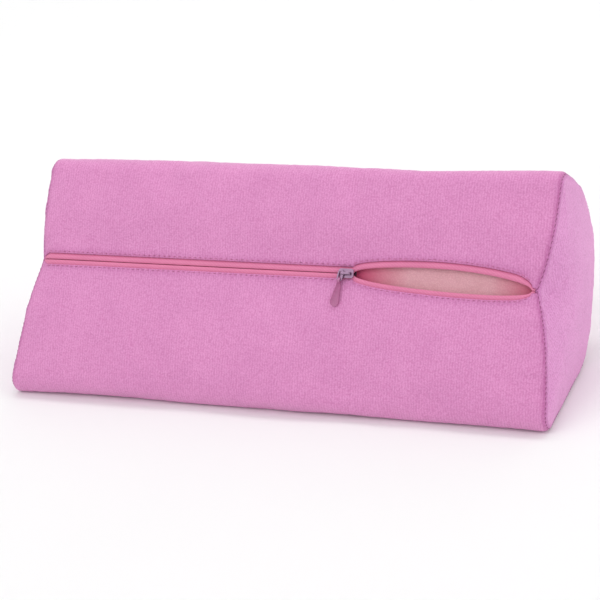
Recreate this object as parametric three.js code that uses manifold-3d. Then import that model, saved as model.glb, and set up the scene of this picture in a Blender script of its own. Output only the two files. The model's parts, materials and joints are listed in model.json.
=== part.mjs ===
// Padded hand-rest wedge: a foam core in a zipped terry cover.
//
// Every piece is drawn in the cushion's own axes, and the whole cushion is then leaned back:
//   x  along the zip, towards the end where the zip is open
//   y  up the flat face, from its lower edge to its upper edge
//   z  straight out of the flat face, which lies at z = 0
// It rests on its flat lower flank, with the zip face leaning back. Millimetres, +Z up.
// The origin is on the floor, under the middle of the cushion.

import * as THREE from 'three';
import { mergeVertices } from 'three/addons/utils/BufferGeometryUtils.js';
import Module from 'manifold-3d';

const wasm = await Module();
wasm.setup();

// Cushion
const LENGTH = 300;
const WIDTH = 140;
const FLANK_ANGLE = THREE.MathUtils.degToRad(58);
const FLANK_LENGTH = 80;
const BACK_ANGLE = THREE.MathUtils.degToRad(89);
const LOW_CROWN_PULL = 8;
const HIGH_CROWN_PULL = 100;
const EDGE_RADIUS = 9;
const EDGE_STEPS = 5;
const CROWN_STEPS = 18;
const GAP = 0.3;

// Cover: wrap panel, end panels, the thread between them and their turned-in edges
const TERRY = 2;
const THREAD = 0.8;
const THREAD_DEPTH = 0.4;
const SEAM_INSET = TERRY + THREAD + 2 * GAP;
const ALLOWANCE_LENGTH = 8;
const ALLOWANCE = 1.4;

// Zip, with its centre line a little above the middle of the face
const ZIP_Y = 11.5;
const TAPE_WIDTH = 12;
const TAPE = 0.6;
const TAPE_TOP = -TERRY - GAP;
const COIL_WIDTH = 1.5;
const COIL_TOP = -0.4;
const COIL_PARTING = 0.6;
const STITCH = 0.6;
const STITCH_CLEARANCE = 0.35;
const STITCH_OFFSET = COIL_WIDTH + STITCH_CLEARANCE;
const TERRY_OFFSET = STITCH_OFFSET + STITCH + STITCH_CLEARANCE;
const MOUTH_START = 42;
const MOUTH_END = 146;
const MOUTH_HALF_GAP = 5.8;
const MOUTH_FULLNESS = 0.5;
const MOUTH_STEPS = 26;

// Slider, bridge, link and pull tab
const SLIDER_X = 38.5;
const SLIDER_LENGTH = 8.4;
const SLIDER_WIDTH = 5;
const SLIDER_CORNER = 1.5;
const PLATE = 0.8;
const PLATE_LIFT = 0.3;
const LOWER_PLATE = 0.6;
const POST_WIDTH = 0.6;
const POST_LENGTH = 2.4;
const POST_INSET = 0.5;
const BRIDGE_LENGTH = 5.6;
const BRIDGE_WIDTH = 1.2;
const BRIDGE_WALL = 0.7;
const BRIDGE_HEIGHT = 2.2;
const LINK_WIDTH = 3.2;
const LINK_WALL = 0.7;
const LINK_REACH = 4;
const LINK_HEIGHT = 1;
const LINK_CORNER = 1.4;
const PULL_LEAN = THREE.MathUtils.degToRad(10);
const LOOP_RADIUS = 1.4;
const LOOP_HOLE = 0.85;
const LOOP_WIDTH = 1.3;
const TAB_LENGTH = 14;
const TAB_NECK = 1.3;
const TAB_SHOULDER = 2.2;
const TAB_SHOULDER_DROP = 0.6;
const TAB_WIDTH = 4.8;
const TAB = 1.2;

const ALLOWANCE_DEPTH = TERRY + TAPE + 2 * GAP;
const FOAM_TOP = TAPE_TOP - TAPE - 2 * GAP - LOWER_PLATE;

const material = (color, roughness, metalness = 0) =>
  new THREE.MeshStandardMaterial({ color, roughness, metalness });

const terryCloth = () => material('#e08fc6', 0.95);
const zipTape = () => material('#d87fae', 0.8);
const nylon = () => material('#df86b4', 0.45);
const sewingThread = () => material('#cf74ab', 0.85);
const softFoam = () => material('#ecd9cf', 0.9);
const diecast = () => material('#b9b4bd', 0.35, 1);
const enamel = () => material('#d774a8', 0.35);

// A closed body as a solid, for joins and cuts
function toSolid(geometry) {
  const bare = geometry.clone();
  bare.deleteAttribute('normal');
  bare.deleteAttribute('uv');
  const merged = mergeVertices(bare, 1e-4);
  return new wasm.Manifold(new wasm.Mesh({
    numProp: 3,
    vertProperties: new Float32Array(merged.attributes.position.array),
    triVerts: new Uint32Array(merged.index.array),
  }));
}

function toGeometry(solid) {
  const mesh = solid.getMesh();
  const geometry = new THREE.BufferGeometry();
  geometry.setAttribute('position', new THREE.BufferAttribute(new Float32Array(mesh.vertProperties), 3));
  geometry.setIndex(new THREE.BufferAttribute(new Uint32Array(mesh.triVerts), 1));
  return geometry;
}

const cut = (body, tool) => toGeometry(toSolid(body).subtract(toSolid(tool)));
const join = (...bodies) => toGeometry(bodies.map(toSolid).reduce((whole, body) => whole.add(body)));

// A block between two opposite corners
function block(low, high) {
  const size = new THREE.Vector3().subVectors(high, low);
  const middle = new THREE.Vector3().addVectors(low, high).multiplyScalar(0.5);
  return new THREE.BoxGeometry(size.x, size.y, size.z).translate(middle.x, middle.y, middle.z);
}

// A flat shape drawn on the face and given a thickness from z = low to z = high
function slab(shape, low, high) {
  const settings = { depth: high - low, bevelEnabled: false, curveSegments: 6 };
  return new THREE.ExtrudeGeometry(shape, settings).translate(0, 0, low);
}

// The cushion's section as [y, depth] points: lower edge, the flank that it rests on, crown, upper edge
function sectionPoints() {
  const lowerInset = EDGE_RADIUS / Math.tan(FLANK_ANGLE / 2);
  const upperInset = EDGE_RADIUS / Math.tan(BACK_ANGLE / 2);
  const flank = new THREE.Vector2(Math.cos(FLANK_ANGLE), Math.sin(FLANK_ANGLE));
  const back = new THREE.Vector2(-Math.cos(BACK_ANGLE), Math.sin(BACK_ANGLE));
  const flankEnd = new THREE.Vector2(-WIDTH / 2, 0).addScaledVector(flank, FLANK_LENGTH);
  const crownEnd = new THREE.Vector2(WIDTH / 2, 0).addScaledVector(back, upperInset);
  const edge = (y, from, to) =>
    new THREE.EllipseCurve(y, EDGE_RADIUS, EDGE_RADIUS, EDGE_RADIUS, from, to, true).getPoints(EDGE_STEPS);
  const crown = new THREE.CubicBezierCurve(
    flankEnd,
    flankEnd.clone().addScaledVector(flank, LOW_CROWN_PULL),
    crownEnd.clone().addScaledVector(back, HIGH_CROWN_PULL),
    crownEnd,
  ).getPoints(CROWN_STEPS);
  return [
    ...edge(-WIDTH / 2 + lowerInset, Math.PI * 1.5, Math.PI / 2 + FLANK_ANGLE),
    ...crown.slice(0, -1),
    ...edge(WIDTH / 2 - upperInset, Math.PI / 2 - BACK_ANGLE, -Math.PI / 2),
  ];
}

const OUTLINE = sectionPoints();

// The section moved inwards by a distance, each point along the mean of its two edges' normals
function outlineAt(distance) {
  return OUTLINE.map((point, index) => {
    const before = OUTLINE.at(index - 1);
    const after = OUTLINE[(index + 1) % OUTLINE.length];
    const first = new THREE.Vector2().subVectors(point, before).normalize();
    const second = new THREE.Vector2().subVectors(after, point).normalize();
    const inward = new THREE.Vector2(first.y + second.y, -first.x - second.x);
    return point.clone().addScaledVector(inward, (2 * distance) / inward.lengthSq());
  });
}

// The section run along x between two places, with its depth pointing into the cushion
function prism(outline, fromX, toX) {
  const upright = new THREE.Matrix4().makeBasis(
    new THREE.Vector3(0, 1, 0),
    new THREE.Vector3(0, 0, -1),
    new THREE.Vector3(-1, 0, 0),
  );
  const settings = { depth: toX - fromX, bevelEnabled: false };
  const body = new THREE.ExtrudeGeometry(new THREE.Shape(outline), settings);
  return body.applyMatrix4(upright).translate(toX, 0, 0);
}

// A tube with the section's shape, between two depths below the outside of the cover
const tube = (fromX, toX, outer, inner) =>
  cut(prism(outlineAt(outer), fromX, toX), prism(outlineAt(inner), fromX - 1, toX + 1));

// Half the distance between the two coils at x: closed up to the slider, then an eye-shaped mouth
function halfGap(x) {
  const along = (x - MOUTH_START) / (MOUTH_END - MOUTH_START);
  if (along <= 0 || along >= 1) return COIL_PARTING;
  return COIL_PARTING + (MOUTH_HALF_GAP - COIL_PARTING) * Math.sin(Math.PI * along) ** MOUTH_FULLNESS;
}

function lipPoints(side, offset, reach) {
  const mouth = Array.from({ length: MOUTH_STEPS + 1 }, (_, step) =>
    THREE.MathUtils.lerp(MOUTH_START, MOUTH_END, step / MOUTH_STEPS));
  return [-reach, ...mouth, reach].map((x) => new THREE.Vector2(x, side * (halfGap(x) + offset)));
}

// A strip that follows one lip of the zip, between two offsets from the edge of its coil
function lipStrip(side, inner, outer, low, high) {
  const reach = LENGTH / 2 - SEAM_INSET;
  const shape = new THREE.Shape([
    ...lipPoints(side, inner, reach),
    ...lipPoints(side, outer, reach).reverse(),
  ]);
  return slab(shape, low, high).translate(0, ZIP_Y, 0);
}

function wrapPanel() {
  const reach = LENGTH / 2 - SEAM_INSET;
  const slot = new THREE.Shape([
    ...lipPoints(-1, TERRY_OFFSET, reach + 1),
    ...lipPoints(1, TERRY_OFFSET, reach + 1).reverse(),
  ]);
  return cut(tube(-reach, reach, 0, TERRY), slab(slot, -TERRY - 1, 1).translate(0, ZIP_Y, 0));
}

// The two ends of a length that lies on one side of the middle, lowest first
const span = (side, inside, outside) => [side * inside, side * outside].sort((a, b) => a - b);

const endPanel = (side) => prism(OUTLINE, ...span(side, LENGTH / 2 - TERRY, LENGTH / 2));

function seamThread(side) {
  const outside = LENGTH / 2 - TERRY - GAP;
  return tube(...span(side, outside - THREAD, outside), THREAD_DEPTH, THREAD_DEPTH + THREAD);
}

function seamAllowance(side) {
  const outside = LENGTH / 2 - SEAM_INSET;
  return tube(...span(side, outside - ALLOWANCE_LENGTH, outside), ALLOWANCE_DEPTH, ALLOWANCE_DEPTH + ALLOWANCE);
}

// The foam fills the cover, stepped in at its ends for the turned-in edges and cut back under the zip
function foamCore() {
  const middleReach = LENGTH / 2 - SEAM_INSET - ALLOWANCE_LENGTH - GAP;
  const endReach = LENGTH / 2 - TERRY - GAP;
  const middle = prism(outlineAt(TERRY + GAP), -middleReach, middleReach);
  const ends = prism(outlineAt(ALLOWANCE_DEPTH + ALLOWANCE + GAP), -endReach, endReach);
  const overZip = block(
    new THREE.Vector3(-LENGTH, -WIDTH, FOAM_TOP),
    new THREE.Vector3(LENGTH, WIDTH, WIDTH),
  );
  return cut(join(middle, ends), overZip);
}

function roundedRectangle(fromX, fromY, toX, toY, radius) {
  const shape = new THREE.Shape();
  shape.absarc(toX - radius, toY - radius, radius, 0, Math.PI / 2);
  shape.absarc(fromX + radius, toY - radius, radius, Math.PI / 2, Math.PI);
  shape.absarc(fromX + radius, fromY + radius, radius, Math.PI, Math.PI * 1.5);
  shape.absarc(toX - radius, fromY + radius, radius, Math.PI * 1.5, Math.PI * 2);
  return shape;
}

// Two plates above and below the coils, joined by a post that runs between them
function sliderBody() {
  const [length, width] = [SLIDER_LENGTH / 2, SLIDER_WIDTH / 2];
  const plan = roundedRectangle(-length, -width, length, width, SLIDER_CORNER);
  const lowerTop = FOAM_TOP + GAP + LOWER_PLATE;
  const postEnd = SLIDER_LENGTH / 2 - POST_INSET;
  const post = block(
    new THREE.Vector3(postEnd - POST_LENGTH, -POST_WIDTH / 2, lowerTop - LOWER_PLATE / 2),
    new THREE.Vector3(postEnd, POST_WIDTH / 2, PLATE_LIFT + PLATE / 2),
  );
  const upper = slab(plan, PLATE_LIFT, PLATE_LIFT + PLATE);
  const lower = slab(plan, lowerTop - LOWER_PLATE, lowerTop);
  return join(upper, lower, post);
}

// A staple that stands lengthwise on the upper plate
function sliderBridge() {
  const half = BRIDGE_LENGTH / 2;
  const shape = new THREE.Shape();
  shape.moveTo(-half, 0);
  shape.lineTo(-half + BRIDGE_WALL, 0);
  shape.lineTo(-half + BRIDGE_WALL, BRIDGE_HEIGHT - BRIDGE_WALL);
  shape.lineTo(half - BRIDGE_WALL, BRIDGE_HEIGHT - BRIDGE_WALL);
  shape.lineTo(half - BRIDGE_WALL, 0);
  shape.lineTo(half, 0);
  shape.lineTo(half, BRIDGE_HEIGHT - BRIDGE_WALL);
  shape.lineTo(half - BRIDGE_WALL, BRIDGE_HEIGHT);
  shape.lineTo(-half + BRIDGE_WALL, BRIDGE_HEIGHT);
  shape.lineTo(-half, BRIDGE_HEIGHT - BRIDGE_WALL);
  const staple = new THREE.ExtrudeGeometry(shape, { depth: BRIDGE_WIDTH, bevelEnabled: false });
  return staple.rotateX(Math.PI / 2).translate(0, BRIDGE_WIDTH / 2, PLATE_LIFT + PLATE + GAP);
}

// A flat oval link round one leg of the bridge, drawn about that leg, hanging towards -y
function pullLink() {
  const half = LINK_WIDTH / 2;
  const low = -LINK_REACH - LINK_WALL / 2;
  const inner = half - LINK_WALL;
  const shape = roundedRectangle(-half, low, half, half, LINK_CORNER);
  const hole = roundedRectangle(-inner, low + LINK_WALL, inner, inner, LINK_CORNER - LINK_WALL);
  shape.holes.push(hole);
  return slab(shape, -LINK_WALL / 2, LINK_WALL / 2);
}

// A teardrop tab on a rolled loop, drawn about the loop's axis (x), hanging towards -y
function pullTab() {
  const ring = new THREE.Shape().absarc(0, 0, LOOP_RADIUS, 0, Math.PI * 2);
  ring.holes.push(new THREE.Path().absarc(0, 0, LOOP_HOLE, 0, Math.PI * 2));
  const loop = new THREE.ExtrudeGeometry(ring, { depth: LOOP_WIDTH, bevelEnabled: false, curveSegments: 10 })
    .rotateY(Math.PI / 2)
    .translate(-LOOP_WIDTH / 2, 0, 0);
  const round = TAB_WIDTH / 2;
  const lowCentre = -TAB_LENGTH + round;
  const plan = new THREE.Shape();
  const root = -(LOOP_HOLE + LOOP_RADIUS) / 2;
  const shoulder = -LOOP_RADIUS - TAB_SHOULDER_DROP;
  plan.moveTo(-TAB_NECK / 2, root);
  plan.lineTo(-TAB_SHOULDER / 2, shoulder);
  plan.lineTo(-round, lowCentre);
  plan.absarc(0, lowCentre, round, Math.PI, Math.PI * 2);
  plan.lineTo(TAB_SHOULDER / 2, shoulder);
  plan.lineTo(TAB_NECK / 2, root);
  return join(loop, slab(plan, -LOOP_RADIUS, -LOOP_RADIUS + TAB));
}

function addMesh(group, name, geometry, finish) {
  const mesh = new THREE.Mesh(geometry, finish);
  mesh.name = name;
  group.add(mesh);
  return mesh;
}

function addCover(cushion) {
  addMesh(cushion, 'wrap_panel', wrapPanel(), terryCloth());
  for (const [end, side] of [['left', -1], ['right', 1]]) {
    addMesh(cushion, `end_panel_${end}`, endPanel(side), terryCloth());
    addMesh(cushion, `seam_thread_${end}`, seamThread(side), sewingThread());
    addMesh(cushion, `seam_allowance_${end}`, seamAllowance(side), terryCloth());
  }
}

function addZip(cushion) {
  for (const [edge, side] of [['upper', 1], ['lower', -1]]) {
    const tape = lipStrip(side, 0, TAPE_WIDTH, TAPE_TOP - TAPE, TAPE_TOP);
    const coil = lipStrip(side, 0, COIL_WIDTH, TAPE_TOP + GAP, COIL_TOP);
    const stitch = lipStrip(side, STITCH_OFFSET, STITCH_OFFSET + STITCH, TAPE_TOP + GAP, TAPE_TOP + GAP + STITCH);
    addMesh(cushion, `zip_tape_${edge}`, tape, zipTape());
    addMesh(cushion, `zip_coil_${edge}`, coil, nylon());
    addMesh(cushion, `zip_stitch_${edge}`, stitch, sewingThread());
  }
}

function addSlider(cushion) {
  const slider = new THREE.Group();
  slider.position.set(SLIDER_X, ZIP_Y, 0);
  addMesh(slider, 'slider_body', sliderBody(), diecast());
  addMesh(slider, 'slider_bridge', sliderBridge(), diecast());
  cushion.add(slider);

  const link = new THREE.Group();
  link.position.set(-(BRIDGE_LENGTH - BRIDGE_WALL) / 2, 0, PLATE_LIFT + PLATE + LINK_HEIGHT);
  link.rotation.z = -PULL_LEAN;
  addMesh(link, 'pull_link', pullLink(), diecast());
  slider.add(link);

  const tab = addMesh(link, 'pull_tab', pullTab(), enamel());
  tab.position.y = -LINK_REACH;
}

// Leans the cushion back on to its flank, over the origin
function lean(cushion) {
  const across = OUTLINE.map((p) => p.x * Math.cos(FLANK_ANGLE) + p.y * Math.sin(FLANK_ANGLE));
  const up = OUTLINE.map((p) => p.x * Math.sin(FLANK_ANGLE) - p.y * Math.cos(FLANK_ANGLE));
  cushion.rotation.x = FLANK_ANGLE;
  cushion.position.set(0, -(Math.min(...across) + Math.max(...across)) / 2, -Math.min(...up));
}

const cushion = new THREE.Group();
addMesh(cushion, 'foam_core', foamCore(), softFoam());
addCover(cushion);
addZip(cushion);
addSlider(cushion);
lean(cushion);

const model = new THREE.Group();
model.add(cushion);
export default model;
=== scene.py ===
"""Padded hand-rest wedge: a foam core in a zipped terry cover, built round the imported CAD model.

Soft pieces are drawn in the cushion's own axes, in millimetres, and turned into the frame at the end:
x along the zip towards its open end, y up the flat face, z straight out of the face, which is at z = 0.
"""

import json
import math

import bpy
import numpy as np
from mathutils import Matrix, Vector


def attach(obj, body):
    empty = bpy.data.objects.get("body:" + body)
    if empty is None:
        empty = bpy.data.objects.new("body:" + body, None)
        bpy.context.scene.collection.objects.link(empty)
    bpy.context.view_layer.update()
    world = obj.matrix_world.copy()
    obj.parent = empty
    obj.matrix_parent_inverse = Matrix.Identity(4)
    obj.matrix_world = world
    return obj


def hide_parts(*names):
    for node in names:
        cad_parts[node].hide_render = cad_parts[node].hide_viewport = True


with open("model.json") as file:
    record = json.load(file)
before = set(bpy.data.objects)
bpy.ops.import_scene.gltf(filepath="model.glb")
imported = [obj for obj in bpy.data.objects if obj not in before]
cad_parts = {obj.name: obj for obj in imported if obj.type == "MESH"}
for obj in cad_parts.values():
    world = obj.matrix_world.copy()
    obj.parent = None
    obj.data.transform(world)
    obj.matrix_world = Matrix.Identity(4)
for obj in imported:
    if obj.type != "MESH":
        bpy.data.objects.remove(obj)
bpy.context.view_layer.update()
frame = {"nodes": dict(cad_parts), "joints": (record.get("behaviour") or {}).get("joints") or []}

MM = 0.001

# The cushion's section, as in the CAD model
LENGTH = 300.0
WIDTH = 140.0
FLANK_ANGLE = math.radians(58)
FLANK_LENGTH = 80.0
BACK_ANGLE = math.radians(89)
LOW_CROWN_PULL = 8.0
HIGH_CROWN_PULL = 100.0
EDGE_RADIUS = 9.0

# The zip: its place and mouth follow the CAD model, with the mouth a little fuller at its ends
ZIP_Y = 11.5
MOUTH_START, MOUTH_END = 42.0, 146.0
MOUTH_HALF_GAP = 5.8
MOUTH_FULLNESS = 0.43
COIL_PARTING = 0.12
LINK_PLACE = (36.05, ZIP_Y, 2.1)

# Where each end of the zip starts to narrow towards the seam, and over what length
NARROW_LEFT, NARROW_RIGHT = (144.5, 3.5), (136.0, 12.0)
NARROWED_BY = 0.75

# How the seams, the filling and the open mouth move straight cloth
PINCH_LEFT, PINCH_RIGHT = 2.5, 8.0
PINCH_WIDTH = 25.0
PINCH_DEPTH = 2.5
DENT_WIDTH, DENT_LENGTH = 16.0, 6.5
CORNERS_OUT = 2.2
MOUTH_SAG, MOUTH_RISE = 4.1, 0.8
SAG_REACH = 26.0
FACE_DEPTH = 22.0
CROWN_DEPTH = 8.0
END_SHEAR = 0.12
PINCH_FROM, SHEAR_FROM = 80.0, 60.0
CROWN_ABOVE, CROWN_BELOW = 1.6, 0.3
END_BULGE = 3.5
FLOOR_GAP = 0.1

# The edges of the terry: rounded over CORNER, folded down over FOLD, and rolled under the zip by LIP
CORNER = 4.0
CORNER_TURN = math.radians(34)
FOLD = 1.0
TAIL = 1.4
LIP = 1.2
TERRY_ABOVE, TERRY_BELOW = 3.4, 2.4
GRID_STEP = 1.15

# Unevenness of the stuffed terry, as heights
LUMP = 0.5
PUCKER = 0.85
CREASE = 0.7
CRUMPLE = 0.9
TUFT = 0.2

# Pile pressed flat, with painted shade in the seams and under the lips, darkens the terry: the line it
# starts from beside the seam, and how far it spreads at the seam and the lips
SEAM_LINE, SEAM_SPREAD = 2.2, 0.7
LIP_SHARE, LIP_SPREAD = 0.4, 0.9

# The strip of the face where the slider and its pull travel
ROOM_WIDTH, ROOM_DROP, ROOM_DEPTH = 24.0, 3.0, 6.0

# The cloth simulation
CLOTH_ROWS, CLOTH_COLUMNS = 50, 64
CLOTH_SLACK, CLOTH_PRESSURE, CLOTH_FRAMES = 0.003, 0.8, 20
CLOTH_STIFFNESS, CLOTH_BENDING, CLOTH_MASS = 12, 0.8, 0.25
FLOOR_HOLD = 1.5
LIFT_CAP = 2.2

# The foam, and the seam allowance between it and the cover
FOAM_TOP, FOAM_INSET, FOAM_ROUND = -4.1, 3.2, 3.0
FOAM_GRAIN = 0.12
EDGE_STOP = 16.0
EDGE_FROM_END = (12.0, 4.5)
EDGE_DEPTH = (2.4, 3.0)

# Tape, coil and sewing
TAPE_STOP = 2.2
COIL_STOP, COIL_PITCH, COIL_WIRE = 4.0, 1.25, 0.19
STITCH_PITCH, STITCH_LENGTH, STITCH_INSET, STITCH_THREAD = 3.1, 2.2, 1.0, 0.24
SEAM_PITCH, SEAM_SINK, SEAM_THREAD = 2.6, 1.35, 0.3

# Light and camera
WORLD_LIGHT = 0.7
KEY_POWER, FILL_POWER, PAPER_POWER = 7.5, 4.6, 14.0
CAMERA_AZIMUTH, CAMERA_ELEVATION, CAMERA_ROLL = 24.9, 26.2, -8.4
CAMERA_LENS, CAMERA_DISTANCE = 118.4, 1050.0
CAMERA_RIGHT, CAMERA_UP = 12.0, -4.5


# ---------------------------------------------------------------- the cushion's axes

joints = {joint["name"]: joint for joint in frame["joints"]}
OUT = np.array(joints["pull_swing"]["axis"])
ALONG = np.array((1.0, 0.0, 0.0))
UP = np.cross(OUT, ALONG)
AXES = np.array((ALONG, UP, OUT))
ORIGIN = np.array(joints["pull_swing"]["pos_m"]) - np.array(LINK_PLACE) * MM @ AXES


def to_frame(points):
    """Points in the cushion's axes, in millimetres, as points of the row frame in metres."""
    return ORIGIN + np.asarray(points, float) * MM @ AXES


def smooth(t):
    t = np.clip(t, 0, 1)
    return t * t * (3 - 2 * t)


def lattice_noise(points, size, seed):
    """Smooth seeded noise from -1 to 1 at points in millimetres, with lumps of about that size."""
    table = np.random.default_rng(seed).uniform(-1, 1, (32, 32, 32))
    place = np.asarray(points, float) / size
    cell = np.floor(place).astype(int)
    part = place - cell
    part = part * part * (3 - 2 * part)
    total = np.zeros(place.shape[:-1])
    for corner in np.ndindex(2, 2, 2):
        share = np.prod(np.where(corner, part, 1 - part), axis=-1)
        index = (cell + corner) % 32
        total += share * table[index[..., 0], index[..., 1], index[..., 2]]
    return total


# ---------------------------------------------------------------- the section


def section_outline():
    """The section's (y, depth) points, from the lower edge over the flank and crown to the upper edge."""
    lower_inset = EDGE_RADIUS / math.tan(FLANK_ANGLE / 2)
    upper_inset = EDGE_RADIUS / math.tan(BACK_ANGLE / 2)
    flank = np.array((math.cos(FLANK_ANGLE), math.sin(FLANK_ANGLE)))
    back = np.array((-math.cos(BACK_ANGLE), math.sin(BACK_ANGLE)))
    start = np.array((-WIDTH / 2, 0)) + FLANK_LENGTH * flank
    end = np.array((WIDTH / 2, 0)) + upper_inset * back

    def arc(y, first, last):
        angle = np.linspace(first, last, 24)
        return np.array((y + EDGE_RADIUS * np.cos(angle), EDGE_RADIUS + EDGE_RADIUS * np.sin(angle))).T

    t = np.linspace(0, 1, 160)[:, None]
    low, high = start + LOW_CROWN_PULL * flank, end + HIGH_CROWN_PULL * back
    crown = (1 - t) ** 3 * start + 3 * (1 - t) ** 2 * t * low + 3 * (1 - t) * t**2 * high + t**3 * end
    lower = arc(-WIDTH / 2 + lower_inset, math.pi * 1.5, math.pi / 2 + FLANK_ANGLE)
    upper = arc(WIDTH / 2 - upper_inset, math.pi / 2 - BACK_ANGLE, -math.pi / 2)
    return np.vstack((lower, crown[:-1], upper))


def close_at_zip(outline):
    """The outline as an evenly spaced loop that starts and ends on the zip line."""
    zip_point = np.array(((ZIP_Y, 0.0),))
    loop = np.vstack((zip_point, outline, zip_point))
    run = np.concatenate(([0], np.cumsum(np.linalg.norm(np.diff(loop, axis=0), axis=1))))
    even = np.linspace(0, run[-1], 2001)
    return even, np.array([np.interp(even, run, loop[:, k]) for k in (0, 1)]).T


SECTION_RUN, SECTION = close_at_zip(section_outline())
ROUND = SECTION_RUN[-1]


def section_at(s):
    """Where the section is a distance s round it from the zip line, downwards first: y, z and the outward
    normal's y and z."""
    s = np.mod(s, ROUND)
    step = 1.5
    ahead, behind = np.mod(s + step, ROUND), np.mod(s - step, ROUND)
    y, depth = (np.interp(s, SECTION_RUN, SECTION[:, k]) for k in (0, 1))
    dy, dd = (
        np.interp(ahead, SECTION_RUN, SECTION[:, k]) - np.interp(behind, SECTION_RUN, SECTION[:, k])
        for k in (0, 1)
    )
    size = np.hypot(dy, dd)
    return y, -depth, -dd / size, -dy / size


def half_gap(x):
    """Half the distance between the coils at x: closed up to the slider, then an eye-shaped mouth."""
    along = np.clip((x - MOUTH_START) / (MOUTH_END - MOUTH_START), 0, 1)
    return COIL_PARTING + (MOUTH_HALF_GAP - COIL_PARTING) * np.sin(np.pi * along) ** MOUTH_FULLNESS


def narrowing(x):
    """How the lips of the terry and the tape draw together where the zip runs into the end seams."""
    (left, left_run), (right, right_run) = NARROW_LEFT, NARROW_RIGHT
    drawn = np.where(x > 0, (x - right) / right_run, (-x - left) / left_run)
    return 1 - NARROWED_BY * np.clip(drawn, 0, 1) ** 1.5


# ---------------------------------------------------------------- how the soft pieces settle


def folds(away, s, size, seed):
    """Noise from -1 to 1 in folds of about that size round the section, drawn out along away."""
    angle, radius = 2 * np.pi * s / ROUND, ROUND / (2 * np.pi)
    ring = radius * np.cos(angle), radius * np.sin(angle)
    place = np.stack(np.broadcast_arrays(away * 0.12, *ring), axis=-1)
    return lattice_noise(place, size, seed)


def seam_puckers(x, s):
    """Small folds that run away from each end seam, deepest at the seam: their height in millimetres."""
    return PUCKER * folds(x, s, 5.5, 11) * np.exp((np.abs(x) - LENGTH / 2) / 13)


def settle(points):
    """Moves points of the straight cushion to where the seams, the filling and the open mouth put them."""
    p = np.array(points, float)
    x, y, z = (p[..., k].copy() for k in range(3))
    end = LENGTH / 2
    near_face = np.exp(-np.square(z / FACE_DEPTH))

    open_share = np.clip((x - MOUTH_START) / (MOUTH_END - MOUTH_START), 0, 1)
    drop = MOUTH_SAG * open_share - MOUTH_RISE * np.sin(np.pi * open_share)
    y = y - drop * np.exp(-np.square((y - ZIP_Y) / SAG_REACH)) * near_face

    zip_end = np.where(x > 0, ZIP_Y - MOUTH_SAG, ZIP_Y)
    pinch = np.where(x > 0, PINCH_RIGHT, PINCH_LEFT)
    beside = np.abs(y - zip_end)
    pull = np.exp(-((beside / PINCH_WIDTH) ** 1.1)) * near_face
    x_new = x - np.sign(x) * pinch * pull * smooth((np.abs(x) - PINCH_FROM) / (end - PINCH_FROM))
    x_new = x_new + END_SHEAR * y * smooth((-x - SHEAR_FROM) / (end - SHEAR_FROM))
    near_end = smooth((np.abs(x) - SHEAR_FROM) / (end - SHEAR_FROM))
    x_new = x_new + np.sign(x) * CORNERS_OUT * (1 - pull) * near_end
    dent = np.exp(-np.square(beside / DENT_WIDTH) - np.square((np.abs(x) - end) / DENT_LENGTH)) * near_face
    z_new = z - PINCH_DEPTH * dent

    above = np.sin(np.pi * np.clip((y - ZIP_Y) / (WIDTH / 2 - EDGE_RADIUS - ZIP_Y), 0, 1)) ** 2
    below = np.sin(np.pi * np.clip((ZIP_Y - y) / (WIDTH / 2 - EDGE_RADIUS + ZIP_Y), 0, 1)) ** 2
    crown = CROWN_ABOVE * above + CROWN_BELOW * below
    z_new = z_new + crown * np.clip(1 + z / CROWN_DEPTH, 0, 1) * (1 - (x / end) ** 4)
    return np.stack((x_new, y, z_new), axis=-1)


def rest_on_floor(points):
    """Points of the row frame, pressed up to the floor where they would reach below it."""
    points[..., 2] = np.maximum(points[..., 2], FLOOR_GAP * MM)
    return points


# ---------------------------------------------------------------- meshes


def grid_faces(rows, columns, loop=False, first=0):
    """Quads of a grid whose points run row by row. With loop, the last column joins the first."""
    faces = []
    for i in range(rows - 1):
        for j in range(columns if loop else columns - 1):
            k = (j + 1) % columns
            a, b = first + i * columns, first + (i + 1) * columns
            faces.append((a + j, a + k, b + k, b + j))
    return faces


def side_name(side):
    """The end of the cushion that a side of 1 or -1 stands for."""
    return "right" if side > 0 else "left"


def edge_name(side):
    """The edge of the zip that a side of 1 or -1 stands for."""
    return "upper" if side > 0 else "lower"


def turned(faces):
    """The same faces seen from their other side."""
    return [face[::-1] for face in faces]


def add_piece(name, points, faces, finish, replaces, flat_pile_and_shade=None):
    """A smooth mesh of points in the row frame that rides on the root body and stands for a CAD node.
    The last argument says from 0 to 1 how far the terry is darkened at each point: partly for pile pressed
    flat, partly painted shade in the seams and under the lips."""
    mesh = bpy.data.meshes.new(name)
    mesh.from_pydata(np.asarray(points, float).reshape(-1, 3).tolist(), [], faces)
    mesh.polygons.foreach_set("use_smooth", [True] * len(mesh.polygons))
    mesh.materials.append(finish)
    mesh.update()
    if flat_pile_and_shade is not None:
        pressed_and_shaded = mesh.attributes.new("flat_pile_and_shade", "FLOAT", "POINT")
        pressed_and_shaded.data.foreach_set("value", np.ravel(flat_pile_and_shade).astype(np.float32))
    piece = bpy.data.objects.new(name, mesh)
    bpy.context.scene.collection.objects.link(piece)
    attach(piece, "root")
    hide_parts(replaces)
    return piece


def grid_normals(points):
    """Outward unit normals of a grid of points whose rows run along x and columns round the section."""
    normals = np.cross(np.gradient(points, axis=1), np.gradient(points, axis=0))
    return normals / np.maximum(np.linalg.norm(normals, axis=-1, keepdims=True), 1e-9)


def tufts(points):
    """The height of the terry's loops at points in millimetres."""
    return 0.6 * lattice_noise(points, 1.7, 1) + 0.4 * lattice_noise(points, 3.1, 2)


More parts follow.
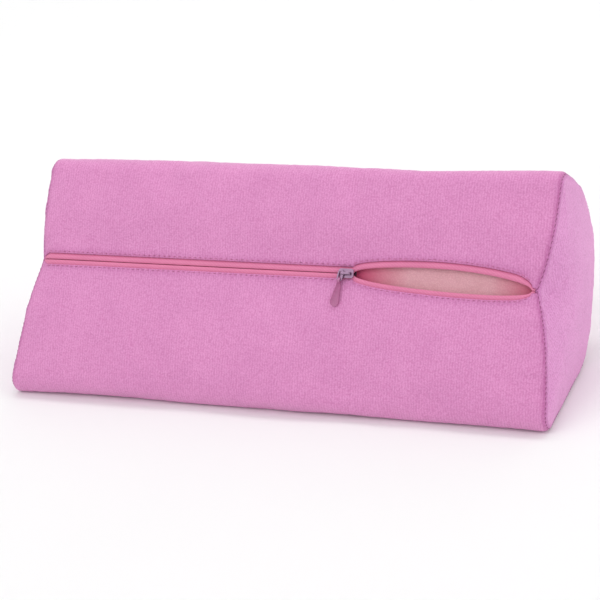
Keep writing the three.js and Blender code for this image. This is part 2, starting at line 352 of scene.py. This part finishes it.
def seam_turn():
    """(along, inset) points of a panel's edge: rounded over the corner, then folded down into the seam."""
    last = CORNER_TURN
    angles = np.linspace(0, last, 8)
    rounded = [(CORNER * math.sin(a), CORNER * (1 - math.cos(a))) for a in angles]
    along, inset = rounded[-1]
    centre = (along - FOLD * math.sin(last), inset + FOLD * math.cos(last))
    folded = [
        (centre[0] + FOLD * math.sin(last + a), centre[1] - FOLD * math.cos(last + a))
        for a in np.radians((22, 45, 68, 90))
    ]
    tail = (folded[-1][0] - TAIL, folded[-1][1] + TAIL)
    return rounded + folded + [tail]


def wrap_grid():
    """The straight wrap panel as a grid: x, distance round the section, and depth below the outside."""
    turn = seam_turn()
    flat_reach = LENGTH / 2 - CORNER
    count = int(2 * flat_reach / GRID_STEP)
    flat = np.linspace(-flat_reach, flat_reach, count)
    ends = np.array([flat_reach + along for along, _ in turn[1:]])
    insets = np.array([inset for _, inset in turn[1:]])
    x = np.concatenate((-ends[::-1], flat, ends))
    end_inset = np.concatenate((insets[::-1], np.zeros(count), insets))

    roll = np.radians(np.linspace(0, 90, 6))
    lip_away = np.concatenate(([LIP * 1.8, 0.4], LIP * (1 - np.sin(roll[::-1]))))
    lip_depth = np.concatenate(([LIP * 2, LIP * 1.7], LIP * (1 - np.cos(roll[::-1]))))
    inner = int(ROUND / GRID_STEP)
    share = np.linspace(0, 1, inner + 2)[1:-1]
    low = half_gap(x) + TERRY_BELOW * narrowing(x)
    high = ROUND - half_gap(x) - TERRY_ABOVE * narrowing(x)
    span = (high - low - 2 * LIP)[:, None] * share + (low + LIP)[:, None]
    s = np.hstack((low[:, None] + lip_away, span, (high[:, None] - lip_away)[:, ::-1]))
    depth = np.concatenate((lip_depth, np.zeros(inner), lip_depth[::-1])) + end_inset[:, None]
    return np.broadcast_to(x[:, None], s.shape), s, depth


def wrap_points(x, s, depth):
    """Straight points of the wrap panel in the cushion's axes."""
    y, z, ny, nz = section_at(s)
    return np.stack((x, y - ny * depth, z - nz * depth), axis=-1)


def pull_room(points):
    """0 where the slider and its pull travel over the cover, rising to 1 away from there."""
    on_face = np.clip(1 + points[..., 2] / ROOM_DEPTH, 0, 1)
    return 1 - np.exp(-np.square((points[..., 1] - ZIP_Y + ROOM_DROP) / ROOM_WIDTH)) * on_face


# Where each crease lies: x, first y and last y
CREASES = ((41, 26, 62), (106, 22, 66), (68, -58, -16), (127, -60, -8), (-82, -50, -20))


def creases(points):
    """The depth of the shallow folds that the slack cloth keeps across the face."""
    x, y = points[..., 0], points[..., 1]
    total = np.zeros(x.shape)
    for place, first, last in CREASES:
        middle, half = (first + last) / 2, (last - first) / 2
        across = x - place - 0.06 * (y - middle)
        total -= np.exp(-np.square(across / 2.6) - ((y - middle) / half) ** 4)
    return CREASE * total * np.clip(1 + points[..., 2] / CROWN_DEPTH, 0, 1)


def crumple(points):
    """Terry bunched up where the zip's right end is caught in the seam."""
    from_end = np.linalg.norm(points - np.array((LENGTH / 2 - PINCH_RIGHT, ZIP_Y - MOUTH_SAG, 0)), axis=-1)
    return CRUMPLE * lattice_noise(points, 6.0, 21) * np.exp(-np.square(from_end / 17))


def cloth_grid():
    """A coarse grid of the wrap panel: x, distance round the section, and share of the way round."""
    x = np.linspace(-LENGTH / 2 + CORNER, LENGTH / 2 - CORNER, CLOTH_ROWS)
    share = np.linspace(0, 1, CLOTH_COLUMNS)
    low = (half_gap(x) + TERRY_BELOW * narrowing(x) + LIP)[:, None]
    high = (ROUND - half_gap(x) - TERRY_ABOVE * narrowing(x) - LIP)[:, None]
    return x, low + (high - low) * share, share


def held_points(start):
    """Which points of the coarse grid are held: the seams, the zip's edges and what rests on the floor."""
    held = np.zeros(start.shape[:2], bool)
    held[[0, -1]] = True
    held[:, [0, -1]] = True
    return held | (start[..., 2] < FLOOR_HOLD * MM)


def add_cloth(piece):
    """Slack cloth under a light pressure from inside, without gravity, held at its vertex group."""
    cloth = piece.modifiers.new("cloth", "CLOTH")
    cloth.settings.vertex_group_mass = "held"
    cloth.settings.quality = 6
    cloth.settings.mass = CLOTH_MASS
    cloth.settings.tension_stiffness = CLOTH_STIFFNESS
    cloth.settings.compression_stiffness = CLOTH_STIFFNESS
    cloth.settings.bending_stiffness = CLOTH_BENDING
    cloth.settings.shrink_min = -CLOTH_SLACK
    cloth.settings.use_pressure = True
    cloth.settings.uniform_pressure_force = CLOTH_PRESSURE
    cloth.settings.effector_weights.gravity = 0
    cloth.collision_settings.use_collision = False
    cloth.point_cache.frame_start, cloth.point_cache.frame_end = 1, CLOTH_FRAMES


def simulate_slack():
    x, s, _ = cloth_grid()
    straight = wrap_points(np.broadcast_to(x[:, None], s.shape), s, np.zeros(s.shape))
    start = to_frame(settle(straight))
    mesh = bpy.data.meshes.new("slack_cloth")
    mesh.from_pydata(start.reshape(-1, 3).tolist(), [], grid_faces(*s.shape))
    sheet = bpy.data.objects.new("slack_cloth", mesh)
    bpy.context.scene.collection.objects.link(sheet)
    group = sheet.vertex_groups.new(name="held")
    group.add(np.flatnonzero(held_points(start)).tolist(), 1.0, "REPLACE")
    add_cloth(sheet)
    for step in range(1, CLOTH_FRAMES + 1):
        bpy.context.scene.frame_set(step)
    result = sheet.evaluated_get(bpy.context.evaluated_depsgraph_get()).to_mesh()
    end = np.zeros(s.size * 3, np.float32)
    result.vertices.foreach_get("co", end)
    bpy.context.scene.frame_set(1)
    bpy.data.objects.remove(sheet)
    bpy.data.meshes.remove(mesh)
    return np.sum((end.reshape(start.shape) - start) * grid_normals(start), axis=-1) / MM


def spread_lift(lift, x, s):
    """The simulated lift, capped and carried over to the fine grid."""
    coarse_x, _, share = cloth_grid()
    capped = LIFT_CAP * np.tanh(lift / LIFT_CAP)
    low, high = s[:, :1] + LIP, s[:, -1:] - LIP
    place = np.clip((s - low) / (high - low), 0, 1)
    rows = np.array([np.interp(x[:, 0], coarse_x, capped[:, k]) for k in range(len(share))]).T
    fine = np.array([np.interp(place[i], share, rows[i]) for i in range(len(rows))])
    for _ in range(6):
        fine[1:-1] = (fine[:-2] + 2 * fine[1:-1] + fine[2:]) / 4
        fine[:, 1:-1] = (fine[:, :-2] + 2 * fine[:, 1:-1] + fine[:, 2:]) / 4
    return fine


def build_wrap(finish):
    x, s, depth = wrap_grid()
    straight = wrap_points(x, s, depth)
    shape = settle(straight)
    normals = grid_normals(shape)
    open_air = np.clip(1 - depth / LIP, 0, 1)
    room = pull_room(shape)
    lumps = (spread_lift(simulate_slack(), x, s) + creases(shape)) * room
    from_lip = np.minimum(s - s[:, :1], s[:, -1:] - s)
    lumps += crumple(shape) * np.clip(from_lip / 8, 0, 1) * room
    lumps += LUMP * (lattice_noise(straight, 38, 3) + 0.5 * lattice_noise(straight, 15, 4)) * room
    height = (lumps + seam_puckers(x, s) + TUFT * tufts(straight) * (0.5 + 0.5 * room)) * open_air
    points = rest_on_floor(to_frame(shape + normals * height[..., None]))
    faces = grid_faces(*points.shape[:2])
    # Darker terry at the seams and lips: partly pile pressed flat, partly painted shade in the seam grooves
    # and where the terry rolls under the zip
    by_seam = np.exp(-np.maximum(LENGTH / 2 - SEAM_LINE - np.abs(x), 0) / SEAM_SPREAD)
    by_lip = LIP_SHARE * np.exp(-np.maximum(from_lip, 0) / LIP_SPREAD)
    pressed_and_shaded = np.maximum(by_seam, by_lip)
    wrap = add_piece("terry_wrap", points, faces, finish, "wrap_panel", pressed_and_shaded)
    return wrap


def build_end_panel(side, finish):
    """A disc of terry: rings from the middle out to the rim, which turns down into the seam."""
    turn = seam_turn()
    s = np.linspace(0, ROUND, 300, endpoint=False)
    y, z, ny, nz = section_at(s)
    rim = np.stack((y - ny * CORNER, z - nz * CORNER), axis=-1)
    middle = np.array((0.0, -26.0))
    rings = []
    for share in np.linspace(0.02, 1, 52):
        bulge = END_BULGE * (1 - share**2.6)
        rings.append(np.column_stack((np.full(len(s), LENGTH / 2 + bulge), middle + share * (rim - middle))))
    for along, inset in turn[1:]:
        edge = np.stack((y - ny * (CORNER - along), z - nz * (CORNER - along)), axis=-1)
        rings.append(np.column_stack((np.full(len(s), LENGTH / 2 - inset), edge)))
    straight = np.array(rings)
    straight[..., 0] *= side
    shape = settle(straight)
    normals = grid_normals(shape) * side
    fade = np.ones(len(rings))
    fade[-5:] = 0
    fade[:2] = 0
    lumps = LUMP * lattice_noise(straight, 26, 5) + crumple(shape)
    rim_share = np.linspace(0, 1, len(rings))[:, None]
    by_zip = np.exp(-np.minimum(s, ROUND - s) / 22)
    puckers = PUCKER * (1 + by_zip) * folds(rim_share * 20, s, 7.0, 12) * rim_share**6
    height = (lumps + puckers + TUFT * tufts(straight)) * fade[:, None]
    points = rest_on_floor(to_frame(shape + normals * height[..., None]))
    faces = grid_faces(*points.shape[:2], loop=True) + [tuple(range(len(s)))[::-1]]
    if side < 0:
        faces = turned(faces)
    end = side_name(side)
    # The rim turned into the seam is darkened: partly pile pressed flat, partly painted shade in the seam
    # groove
    pressed_and_shaded = np.zeros(points.shape[:2])
    pressed_and_shaded[-len(turn) + 1 :] = np.linspace(0, 1, len(turn) - 1)[:, None] ** 0.5
    return add_piece(f"terry_end_{end}", points, faces, finish, f"end_panel_{end}", pressed_and_shaded)


def tube_points(path, radius, sides):
    """Rings of points round a path of points, one ring for each."""
    path = np.asarray(path, float)
    ahead = np.gradient(path, axis=0)
    ahead /= np.linalg.norm(ahead, axis=1, keepdims=True)
    guide = np.where(np.abs(ahead[:, :1]) < 0.9, ((1.0, 0, 0),), ((0, 1.0, 0),))
    first = np.cross(ahead, guide)
    first /= np.linalg.norm(first, axis=1, keepdims=True)
    second = np.cross(ahead, first)
    angle = np.linspace(0, 2 * math.pi, sides, endpoint=False)
    radius = np.broadcast_to(radius, (len(path),))[:, None, None]
    ring = np.cos(angle)[None, :, None] * first[:, None] + np.sin(angle)[None, :, None] * second[:, None]
    return path[:, None] + radius * ring


def tubes(paths, radius, sides=6):
    """Points and faces of many separate tubes with closed ends."""
    points, faces, first = [], [], 0
    for path in paths:
        rings = tube_points(path, radius, sides)
        points.append(rings.reshape(-1, 3))
        faces += turned(grid_faces(len(path), sides, loop=True, first=first))
        last = first + (len(path) - 1) * sides
        faces.append(tuple(range(first, first + sides)))
        faces.append(tuple(range(last, last + sides))[::-1])
        first += len(path) * sides
    return np.vstack(points), faces


def lip_point(side, x, away, z):
    """A point beside the zip: away from the coil's edge at x, at a height z over the face."""
    return np.stack((x, ZIP_Y + side * (half_gap(x) + away * narrowing(x)), z + 0 * x), axis=-1)


# The tape's section, as distance from the coil's edge and height: the rounded lip, then the web
TAPE_TOP = ((0.1, -2.1), (0.0, -1.5), (0.03, -0.9), (0.22, -0.5), (0.7, -0.25), (1.4, -0.15), (2.1, -0.3))
TAPE_TOP += ((2.8, -0.75), (3.3, -1.4), (4.0, -2.2), (7.0, -2.5), (11.5, -2.5))
TAPE_UNDER = ((11.5, -2.95), (7.0, -2.95), (3.8, -2.75), (2.9, -2.3), (2.3, -1.5), (1.5, -0.8), (0.8, -0.85))
TAPE_UNDER += ((0.6, -1.5), (0.55, -2.1))


def build_tape(side, finish):
    """One side of the zip tape: a rounded lip over the coil and a flat web that runs under the terry."""
    profile = np.array(TAPE_TOP + TAPE_UNDER)
    x = np.linspace(-LENGTH / 2 + TAPE_STOP, LENGTH / 2 - TAPE_STOP, 220)
    rows = [lip_point(side, np.full(len(profile), value), profile[:, 0], profile[:, 1]) for value in x]
    points = to_frame(settle(np.array(rows)))
    count = len(profile)
    faces = grid_faces(len(x), count, loop=True)
    faces += [tuple(range(count))[::-1], tuple(range((len(x) - 1) * count, len(x) * count))]
    if side > 0:
        faces = turned(faces)
    edge = edge_name(side)
    return add_piece(f"tape_{edge}", points, faces, finish, f"zip_tape_{edge}")


def build_coil(side, finish):
    """The nylon coil sewn under the lip of the tape, as one long helix."""
    turns = int((LENGTH - 2 * COIL_STOP) / COIL_PITCH)
    angle = np.linspace(0, 2 * math.pi * turns, turns * 8 + 1) + (math.pi if side > 0 else 0)
    x = np.linspace(-LENGTH / 2 + COIL_STOP, LENGTH / 2 - COIL_STOP, len(angle))
    path = lip_point(side, x, 1.15 + 0.55 * np.cos(angle), -1.75 + 0.5 * np.sin(angle))
    points, faces = tubes([to_frame(settle(path))], COIL_WIRE * MM, 5)
    edge = edge_name(side)
    return add_piece(f"coil_{edge}", points, faces, finish, f"zip_coil_{edge}")


def build_topstitch(side, finish):
    """The row of stitches that holds the terry to the tape, each dipping into the cloth at its ends."""
    away = (TERRY_ABOVE if side > 0 else TERRY_BELOW) + STITCH_INSET
    paths = []
    share = np.linspace(0, 1, 5)
    for start in np.arange(-LENGTH / 2 + 6, LENGTH / 2 - 8, STITCH_PITCH):
        x = start + share * STITCH_LENGTH
        height = 0.12 - 0.55 * np.square(2 * share - 1)
        paths.append(to_frame(settle(lip_point(side, x, away, height))))
    points, faces = tubes(paths, STITCH_THREAD * MM)
    edge = edge_name(side)
    return add_piece(f"topstitch_{edge}", points, faces, finish, f"zip_stitch_{edge}")


def build_seam(side, finish):
    """The stitches at the bottom of an end seam, lying across it at a slant."""
    paths = []
    count = int(ROUND / SEAM_PITCH)
    share = np.linspace(0, 1, 5)
    for s in np.arange(count) * ROUND / count:
        y, z, ny, nz = section_at(s + share * SEAM_PITCH * 0.7)
        inset = SEAM_SINK + 0.3 * np.square(2 * share - 1)
        x = side * (LENGTH / 2 - SEAM_SINK - 0.5 * (share - 0.5))
        path = np.stack((x, y - ny * inset, z - nz * inset), axis=-1)
        paths.append(to_frame(settle(path)))
    points, faces = tubes(paths, SEAM_THREAD * MM)
    end = side_name(side)
    return add_piece(f"seam_stitches_{end}", points, faces, finish, f"seam_thread_{end}")


def build_allowance(side, finish):
    """The turned-in edge of an end seam, between the foam and the cover."""
    s = np.linspace(EDGE_STOP, ROUND - EDGE_STOP, 200)
    y, z, ny, nz = section_at(s)
    inner, outer = (LENGTH / 2 - away for away in EDGE_FROM_END)
    low, high = EDGE_DEPTH
    loop = [(inner, low), (outer, low), (outer, high), (inner, high)]
    rings = [np.stack((np.full(len(s), side * x), y - ny * d, z - nz * d), axis=-1) for x, d in loop]
    points = rest_on_floor(to_frame(settle(np.array(rings).swapaxes(0, 1))))
    faces = grid_faces(len(s), len(loop), loop=True)
    last = (len(s) - 1) * len(loop)
    faces += [tuple(range(len(loop)))[::-1], tuple(range(last, last + len(loop)))]
    if side < 0:
        faces = turned(faces)
    end = side_name(side)
    return add_piece(f"seam_edge_{end}", points, faces, finish, f"seam_allowance_{end}")


def build_foam(finish):
    """The foam core, cut back under the zip."""
    turn = np.radians(np.linspace(90, 0, 6))
    reach = LENGTH / 2 - FOAM_INSET - FOAM_ROUND
    ends = [(reach + FOAM_ROUND * math.sin(a), FOAM_INSET + FOAM_ROUND * (1 - math.cos(a))) for a in turn]
    stations = [(-x, d) for x, d in ends]
    stations += [(x, FOAM_INSET) for x in np.linspace(-reach, reach, 190)[1:-1]]
    stations += [(x, d) for x, d in reversed(ends)]
    s = np.linspace(0, ROUND, 260, endpoint=False)
    y, z, ny, nz = section_at(s)
    rings = [np.stack((np.full(len(s), x), y - ny * d, z - nz * d), axis=-1) for x, d in stations]
    straight = np.array(rings)
    straight[..., 2] = np.minimum(straight[..., 2], FOAM_TOP)
    shape = settle(straight)
    shape += grid_normals(shape) * (FOAM_GRAIN * lattice_noise(straight, 1.9, 7))[..., None]
    points = rest_on_floor(to_frame(shape))
    faces = grid_faces(*points.shape[:2], loop=True)
    faces += [tuple(range(len(s)))[::-1], tuple(range((len(stations) - 1) * len(s), len(stations) * len(s)))]
    foam = add_piece("foam_block", points, faces, finish, "foam_core")
    return foam


# ---------------------------------------------------------------- materials


def linear(*srgb):
    """A display colour from 0 to 255 as the linear colour that a shader takes."""
    values = [c / 255 for c in srgb]
    return tuple(c / 12.92 if c <= 0.04045 else ((c + 0.055) / 1.055) ** 2.4 for c in values) + (1.0,)


def node(tree, kind, sockets=None, **settings):
    """A shader node with its settings, whose sockets take a value or another node's output."""
    made = tree.nodes.new(f"ShaderNode{kind}")
    for key, value in settings.items():
        setattr(made, key, value)
    for key, value in (sockets or {}).items():
        if isinstance(value, bpy.types.NodeSocket):
            tree.links.new(value, made.inputs[key])
        else:
            made.inputs[key].default_value = value
    return made


def new_material(name, **sockets):
    """A material and its Principled shader, with values set on the shader's own sockets."""
    finish = bpy.data.materials.new(name)
    finish.use_nodes = True
    shader = finish.node_tree.nodes["Principled BSDF"]
    for key, value in sockets.items():
        shader.inputs[key.replace("_", " ")].default_value = value
    return finish, finish.node_tree, shader


def mix_colour(tree, share, first, second, blend="MIX"):
    mixer = node(tree, "Mix", data_type="RGBA", blend_type=blend)
    for index, value in ((0, share), (6, first), (7, second)):
        if isinstance(value, bpy.types.NodeSocket):
            tree.links.new(value, mixer.inputs[index])
        else:
            mixer.inputs[index].default_value = value
    return mixer.outputs[2]


def ramp(tree, value, low, high):
    spread = node(tree, "MapRange", {"Value": value, "From Min": low, "From Max": high})
    return spread.outputs["Result"]


def add_bump(tree, shader, height, strength, distance):
    bump = node(tree, "Bump", {"Height": height, "Strength": strength, "Distance": distance * MM})
    tree.links.new(bump.outputs["Normal"], shader.inputs["Normal"])


def terry_finish(name, dark, light, wales):
    """Looped cotton: fine tufts standing in faint rows, with mottling where the pile leans, and colour
    darker where the loops are low, as painted shade in the hollows between loops and rows.
    """
    finish, tree, shader = new_material(name, Roughness=0.95, Sheen_Weight=0.25, Sheen_Roughness=0.6)
    shader.inputs["Specular IOR Level"].default_value = 0.1
    place = node(tree, "TexCoord").outputs["Object"]
    loops = node(tree, "TexVoronoi", {"Vector": place, "Scale": 1150.0, "Randomness": 1.0})
    grain = node(tree, "TexNoise", {"Vector": place, "Scale": 950.0, "Detail": 3.0, "Roughness": 0.65})
    wave = {"Vector": place, "Scale": 215.0, "Distortion": 3.4, "Detail": 2.0, "Detail Scale": 1.2}
    rows = node(tree, "TexWave", wave, bands_direction=wales)
    lean = node(tree, "TexNoise", {"Vector": place, "Scale": 38.0, "Detail": 4.0, "Roughness": 0.65})
    parts = {0: grain.outputs["Fac"], 1: loops.outputs["Distance"]}
    grain_height = node(tree, "Math", parts, operation="SUBTRACT")
    row_share = node(tree, "Math", {0: rows.outputs["Fac"], 1: 0.34}, operation="MULTIPLY")
    height = node(tree, "Math", {0: grain_height.outputs[0], 1: row_share.outputs[0]}, operation="ADD")
    # The first colour in the hollows and the second on the loops' tops: painted shade in the hollows
    hollow_shade_ramp = ramp(tree, height.outputs[0], -0.15, 0.6)
    colour = mix_colour(tree, hollow_shade_ramp, linear(*dark), linear(*light))
    shade = mix_colour(tree, ramp(tree, lean.outputs["Fac"], 0.3, 0.7), (0.93, 0.9, 0.93, 1), (1, 1, 1, 1))
    leaning = mix_colour(tree, 1.0, colour, shade, "MULTIPLY")
    # Darker where the pile is pressed flat, plus painted shade in the seam grooves and under the lips
    pressed_and_shaded = node(tree, "Attribute", attribute_name="flat_pile_and_shade").outputs["Fac"]
    flattened_and_shaded = mix_colour(tree, pressed_and_shaded, (1, 1, 1, 1), (0.78, 0.63, 0.75, 1))
    tree.links.new(mix_colour(tree, 1.0, leaning, flattened_and_shaded, "MULTIPLY"), shader.inputs["Base Color"])
    add_bump(tree, shader, height.outputs[0], 0.42, 0.5)
    return finish


def tape_finish():
    """Woven polyester tape: a fine herringbone with a slight sheen."""
    finish, tree, shader = new_material("zip_tape_weave", Roughness=0.6, Sheen_Weight=0.15)
    place = node(tree, "TexCoord").outputs["Object"]
    ribs = node(tree, "TexWave", {"Vector": place, "Scale": 420.0, "Distortion": 0.6}, bands_direction="X")
    slanting = {"Vector": place, "Scale": 300.0, "Distortion": 0.8}
    slant = node(tree, "TexWave", slanting, bands_direction="DIAGONAL")
    weave = node(tree, "Math", {0: ribs.outputs["Fac"], 1: slant.outputs["Fac"]}, operation="MULTIPLY")
    tone = node(tree, "TexNoise", {"Vector": place, "Scale": 90.0, "Detail": 3.0})
    base = mix_colour(tree, weave.outputs[0], linear(224, 122, 164), linear(236, 140, 180))
    tint = mix_colour(tree, ramp(tree, tone.outputs["Fac"], 0.3, 0.7), (0.94, 0.9, 0.93, 1), (1, 1, 1, 1))
    tree.links.new(mix_colour(tree, 1.0, base, tint, "MULTIPLY"), shader.inputs["Base Color"])
    add_bump(tree, shader, weave.outputs[0], 0.35, 0.15)
    return finish


def thread_finish(name, colour):
    """Twisted sewing thread."""
    finish, tree, shader = new_material(name, Roughness=0.75, Sheen_Weight=0.1)
    place = node(tree, "TexCoord").outputs["Object"]
    turns = {"Vector": place, "Scale": 900.0, "Distortion": 0.5}
    twist = node(tree, "TexWave", turns, bands_direction="DIAGONAL")
    darker = tuple(0.8 * c for c in linear(*colour)[:3]) + (1.0,)
    shade = mix_colour(tree, twist.outputs["Fac"], darker, linear(*colour))
    tree.links.new(shade, shader.inputs["Base Color"])
    add_bump(tree, shader, twist.outputs["Fac"], 0.4, 0.08)
    return finish


def coil_finish():
    """Dyed nylon monofilament."""
    finish, tree, shader = new_material("zip_coil_nylon", Roughness=0.35)
    place = node(tree, "TexCoord").outputs["Object"]
    tone = node(tree, "TexNoise", {"Vector": place, "Scale": 260.0, "Detail": 2.0})
    tree.links.new(
        mix_colour(tree, tone.outputs["Fac"], linear(205, 100, 150), linear(238, 140, 185)),
        shader.inputs["Base Color"],
    )
    rough = node(tree, "MapRange", {"Value": tone.outputs["Fac"], "To Min": 0.28, "To Max": 0.48})
    tree.links.new(rough.outputs["Result"], shader.inputs["Roughness"])
    return finish


def foam_finish():
    """Open-cell foam: pale, matt and full of fine pores. A pinker colour set by place, towards the ends of
    the mouth, stands for the light that the cover throws on it."""
    finish, tree, shader = new_material("foam_cells", Roughness=0.95)
    shader.inputs["Specular IOR Level"].default_value = 0.1
    place = node(tree, "TexCoord").outputs["Object"]
    cells = node(tree, "TexVoronoi", {"Vector": place, "Scale": 1300.0})
    tone = node(tree, "TexNoise", {"Vector": place, "Scale": 120.0, "Detail": 5.0, "Roughness": 0.6})
    pores = ramp(tree, cells.outputs["Distance"], 0.1, 0.6)
    base = mix_colour(tree, pores, linear(240, 190, 198), linear(228, 172, 184))
    tint = mix_colour(tree, ramp(tree, tone.outputs["Fac"], 0.3, 0.7), (0.93, 0.92, 0.9, 1), (1, 1, 1, 1))
    plain = mix_colour(tree, 1.0, base, tint, "MULTIPLY")
    along = node(tree, "SeparateXYZ", {"Vector": place}).outputs["X"]
    middle, half = (MOUTH_START + MOUTH_END) / 2, (MOUTH_END - MOUTH_START) / 2
    from_middle = node(tree, "Math", {0: along, 1: middle * MM}, operation="SUBTRACT")
    off_middle = node(tree, "Math", {0: from_middle.outputs[0]}, operation="ABSOLUTE")
    blush = ramp(tree, off_middle.outputs[0], (half - 30) * MM, half * MM)
    tree.links.new(mix_colour(tree, blush, plain, linear(212, 78, 124)), shader.inputs["Base Color"])
    deep = node(tree, "Math", {0: 1.0, 1: cells.outputs["Distance"]}, operation="SUBTRACT")
    add_bump(tree, shader, deep.outputs[0], 0.35, 0.25)
    return finish


def metal_finish():
    """Nickel-plated zinc, scratched on the flats. Its colour is paler on the edges and darker and pinker on
    the flats, where the darkness is painted shade and the pink a painted reflection of the cover.
    """
    finish, tree, shader = new_material("slider_nickel", Metallic=1.0)
    place = node(tree, "TexCoord").outputs["Object"]
    wear = node(tree, "TexNoise", {"Vector": place, "Scale": 900.0, "Detail": 6.0, "Roughness": 0.7})
    edges = node(tree, "NewGeometry").outputs["Pointiness"]
    rough = node(tree, "MapRange", {"Value": wear.outputs["Fac"], "To Min": 0.3, "To Max": 0.55})
    tree.links.new(rough.outputs["Result"], shader.inputs["Roughness"])
    # Darker, pinker flats: painted shade and a painted reflection of the pink cover; paler on the edges
    tone = mix_colour(tree, ramp(tree, edges, 0.48, 0.56), linear(78, 56, 80), linear(160, 128, 156))
    tree.links.new(tone, shader.inputs["Base Color"])
    add_bump(tree, shader, wear.outputs["Fac"], 0.2, 0.08)
    return finish


def enamel_finish():
    """Pink enamel on the pull tab, worn through to paler metal at its edges."""
    finish, tree, shader = new_material("tab_enamel", Coat_Weight=0.1, Coat_Roughness=0.4)
    place = node(tree, "TexCoord").outputs["Object"]
    wear = node(tree, "TexNoise", {"Vector": place, "Scale": 700.0, "Detail": 5.0, "Roughness": 0.65})
    edges = node(tree, "NewGeometry").outputs["Pointiness"]
    rubbed = ramp(tree, wear.outputs["Fac"], 0.35, 0.65)
    colour = mix_colour(tree, rubbed, linear(152, 62, 116), linear(172, 80, 134))
    worn = mix_colour(tree, ramp(tree, edges, 0.54, 0.62), colour, linear(198, 130, 170))
    tree.links.new(worn, shader.inputs["Base Color"])
    rough = node(tree, "MapRange", {"Value": wear.outputs["Fac"], "To Min": 0.3, "To Max": 0.55})
    tree.links.new(rough.outputs["Result"], shader.inputs["Roughness"])
    add_bump(tree, shader, wear.outputs["Fac"], 0.15, 0.06)
    return finish


def stage_finish():
    finish, tree, shader = new_material("studio_paper", Roughness=0.9)
    place = node(tree, "TexCoord").outputs["Object"]
    tone = node(tree, "TexNoise", {"Vector": place, "Scale": 4.0, "Detail": 2.0})
    pale = mix_colour(tree, tone.outputs["Fac"], (0.9, 0.9, 0.9, 1), (0.93, 0.93, 0.93, 1))
    tree.links.new(pale, shader.inputs["Base Color"])
    return finish


# ---------------------------------------------------------------- CAD nodes that are kept


def dress_node(name, finish, bevel):
    """A CAD node with softened edges and its finish."""
    piece = frame["nodes"][name]
    piece.data.materials.clear()
    piece.data.materials.append(finish)
    edge = piece.modifiers.new("soft_edges", "BEVEL")
    edge.width = bevel * MM
    edge.segments = 3
    edge.limit_method = "ANGLE"
    edge.angle_limit = math.radians(35)
    edge.harden_normals = True


# ---------------------------------------------------------------- stage, lights and camera


def build_stage():
    """Seamless white paper that runs up behind the cushion."""
    near, far, half, sweep, height = -6.0, 1.6, 6.0, 0.8, 3.0
    profile = [(near, 0.0)]
    for angle in np.linspace(0, math.pi / 2, 16):
        profile.append((far - sweep + sweep * math.sin(angle), sweep * (1 - math.cos(angle))))
    profile.append((far, height))
    points = [(x, y, z) for x in (-half, half) for y, z in profile]
    count = len(profile)
    mesh = bpy.data.meshes.new("paper_sweep")
    mesh.from_pydata(points, [], [(k, count + k, count + k + 1, k + 1) for k in range(count - 1)])
    mesh.polygons.foreach_set("use_smooth", [True] * len(mesh.polygons))
    mesh.materials.append(stage_finish())
    paper = bpy.data.objects.new("paper_sweep", mesh)
    bpy.context.scene.collection.objects.link(paper)


def add_softbox(name, place, target, size, power):
    light = bpy.data.lights.new(name, "AREA")
    light.shape = "RECTANGLE"
    light.size, light.size_y = size
    light.energy = power
    lamp = bpy.data.objects.new(name, light)
    lamp.location = place
    lamp.rotation_mode = "QUATERNION"
    lamp.rotation_quaternion = (Vector(target) - Vector(place)).to_track_quat("-Z", "Y")
    bpy.context.scene.collection.objects.link(lamp)


def build_lights():
    world = bpy.data.worlds.new("studio")
    world.use_nodes = True
    world.node_tree.nodes["Background"].inputs["Color"].default_value = (1, 1, 1, 1)
    world.node_tree.nodes["Background"].inputs["Strength"].default_value = WORLD_LIGHT
    bpy.context.scene.world = world
    middle = (0, 0, 0.06)
    add_softbox("key_softbox", (-0.7, -1.1, 1.5), middle, (1.2, 1.0), KEY_POWER)
    add_softbox("fill_softbox", (1.6, 0.1, 0.8), middle, (1.0, 1.0), FILL_POWER)
    add_softbox("paper_light", (0.0, 0.55, 2.2), (0, 1.4, 0.3), (2.5, 0.8), PAPER_POWER)


def build_camera():
    """The camera, placed from the middle of the zip face by its angles and distance."""
    azimuth, elevation, roll = np.radians((CAMERA_AZIMUTH, CAMERA_ELEVATION, CAMERA_ROLL)).tolist()
    level = math.cos(elevation)
    back = Vector((math.sin(azimuth) * level, -math.cos(azimuth) * level, math.sin(elevation)))
    turn = (-back).to_track_quat("-Z", "Y").to_matrix().to_4x4() @ Matrix.Rotation(roll, 4, "Z")
    right, up = turn.col[0].to_3d(), turn.col[1].to_3d()
    data = bpy.data.cameras.new("camera")
    data.lens = CAMERA_LENS
    data.sensor_width = 36.0
    data.clip_start, data.clip_end = 0.05, 20.0
    camera = bpy.data.objects.new("camera", data)
    aim = Vector(ORIGIN.tolist()) + (CAMERA_RIGHT * right + CAMERA_UP * up) * MM
    camera.matrix_world = Matrix.Translation(aim + back * CAMERA_DISTANCE * MM) @ turn
    bpy.context.scene.collection.objects.link(camera)
    bpy.context.scene.camera = camera


# ---------------------------------------------------------------- the scene

bpy.context.scene.view_settings.view_transform = "Standard"
build_camera()
build_lights()
build_stage()

# Each terry's first colour is its painted shade in the hollows between the loops
terry = terry_finish("terry_loops", (217, 135, 188), (236, 160, 211), "X")
terry_end = terry_finish("terry_loops_end", (218, 142, 196), (238, 166, 220), "Y")
thread = thread_finish("topstitch_thread", (214, 122, 172))
seam_thread = thread_finish("seam_thread", (168, 84, 136))
tape = tape_finish()
coil = coil_finish()
nickel = metal_finish()

build_foam(foam_finish())
build_wrap(terry)
for side in (-1, 1):
    build_end_panel(side, terry_end)
    build_seam(side, seam_thread)
    build_allowance(side, terry_end)
    build_tape(side, tape)
    build_coil(side, coil)
    build_topstitch(side, thread)
dress_node("slider_body", nickel, 0.22)
dress_node("slider_bridge", nickel, 0.22)
dress_node("pull_link", nickel, 0.2)
dress_node("pull_tab", enamel_finish(), 0.25)
